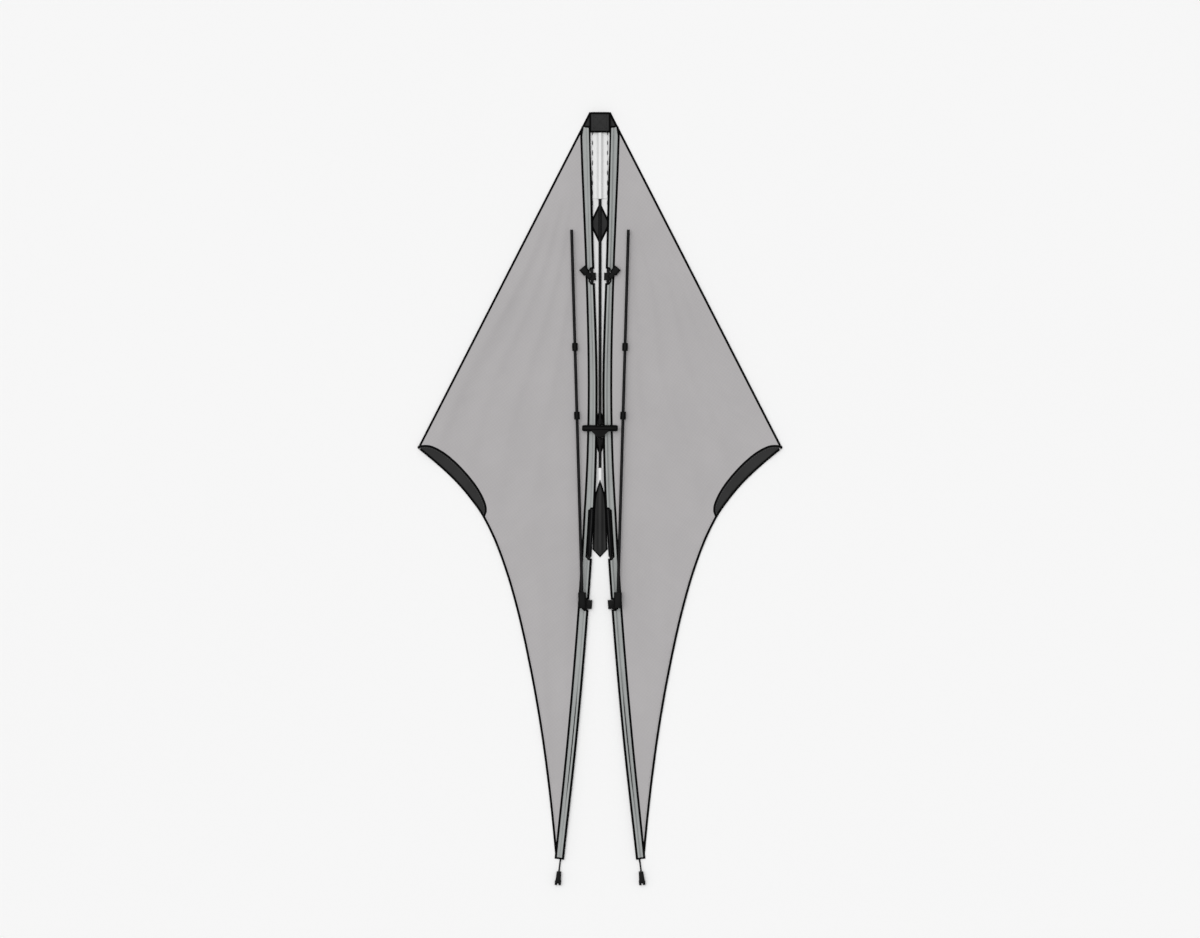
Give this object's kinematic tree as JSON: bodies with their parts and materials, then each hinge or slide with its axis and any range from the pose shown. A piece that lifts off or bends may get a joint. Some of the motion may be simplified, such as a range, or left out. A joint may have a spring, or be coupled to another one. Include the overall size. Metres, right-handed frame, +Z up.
{
  "type": "folded two-line delta sport kite",
  "caption": "Delta sport kite folded flat: sail folded over along each side, leading edges beside the spine, spreaders laid along it, centre T, tube connectors and arrow nocks on bungees.",
  "frame": {"origin": "bottom centre of the folded kite on the floor, without the bungees and nocks", "axes": "+Y towards the nose along the spine, +X to the right wing, +Z up from the floor"},
  "size_m": [0.7244, 1.5457, 0.0249],
  "materials": {
    "sail_cloth": "grey ripstop sailcloth",
    "sleeve_cloth": "darker grey woven sleeve cloth",
    "light_strip": "light grey woven tape",
    "reinforcement": "near-black webbing and patch cloth",
    "carbon": "black carbon tube, satin",
    "fitting": "black moulded connector",
    "bungee": "black braided bungee"
  },
  "bodies": {
    "root": {"spine_rod": "carbon", "centre_strip": "light_strip", "nose_webbing": "reinforcement", "nose_corner_left": "reinforcement", "nose_corner_right": "reinforcement", "nose_pocket": "light_strip", "tail_pocket": "light_strip", "tail_patch": "reinforcement", "upper_patch": "reinforcement", "centre_patch": "reinforcement", "centre_t": "fitting", "inner_sail_left": "sail_cloth", "inner_sail_right": "sail_cloth"},
    "wing_left": {"outer_sail_left": "sail_cloth", "edge_patch_left": "reinforcement", "leading_edge_sleeve_left": "sleeve_cloth", "upper_tube_left": "carbon", "lower_tube_left": "carbon", "ferrule_left": "carbon", "upper_connector_left": "fitting", "lower_clamp_left": "fitting", "tip_cord_left": "bungee", "tip_nock_left": "fitting"},
    "wing_right": {"outer_sail_right": "sail_cloth", "edge_patch_right": "reinforcement", "leading_edge_sleeve_right": "sleeve_cloth", "upper_tube_right": "carbon", "lower_tube_right": "carbon", "ferrule_right": "carbon", "upper_connector_right": "fitting", "lower_clamp_right": "fitting", "tip_cord_right": "bungee", "tip_nock_right": "fitting"},
    "spreader_left": {"spreader_socket_left": "fitting", "lower_spreader_left": "carbon", "inner_collar_left": "fitting", "outer_collar_left": "fitting"},
    "spreader_right": {"spreader_socket_right": "fitting", "lower_spreader_right": "carbon", "inner_collar_right": "fitting", "outer_collar_right": "fitting"}
  },
  "joints": [
    {"name": "wing_left_swing", "type": "hinge", "parent": "root", "child": "wing_left", "pos_m": [-0.0238, 0.7179, 0.0066], "axis": [0, 0, -1], "range_deg": [0, 50], "deforming": ["outer_sail_left", "edge_patch_left"]},
    {"name": "wing_right_swing", "type": "hinge", "parent": "root", "child": "wing_right", "pos_m": [0.0238, 0.7179, 0.0066], "axis": [0, 0, 1], "range_deg": [0, 50], "deforming": ["outer_sail_right", "edge_patch_right"]},
    {"name": "spreader_left_swing", "type": "hinge", "parent": "wing_left", "child": "spreader_left", "pos_m": [-0.03519, -0.23747, 0.0184], "axis": [0, 0, -1], "range_deg": [0, 24]},
    {"name": "spreader_right_swing", "type": "hinge", "parent": "wing_right", "child": "spreader_right", "pos_m": [0.03519, -0.23747, 0.0184], "axis": [0, 0, 1], "range_deg": [0, 24]}
  ],
  "couplings": [
    {"joint": "spreader_left_swing", "follows": "wing_left_swing", "ratio": 0.48},
    {"joint": "spreader_right_swing", "follows": "wing_right_swing", "ratio": 0.48}
  ]
}
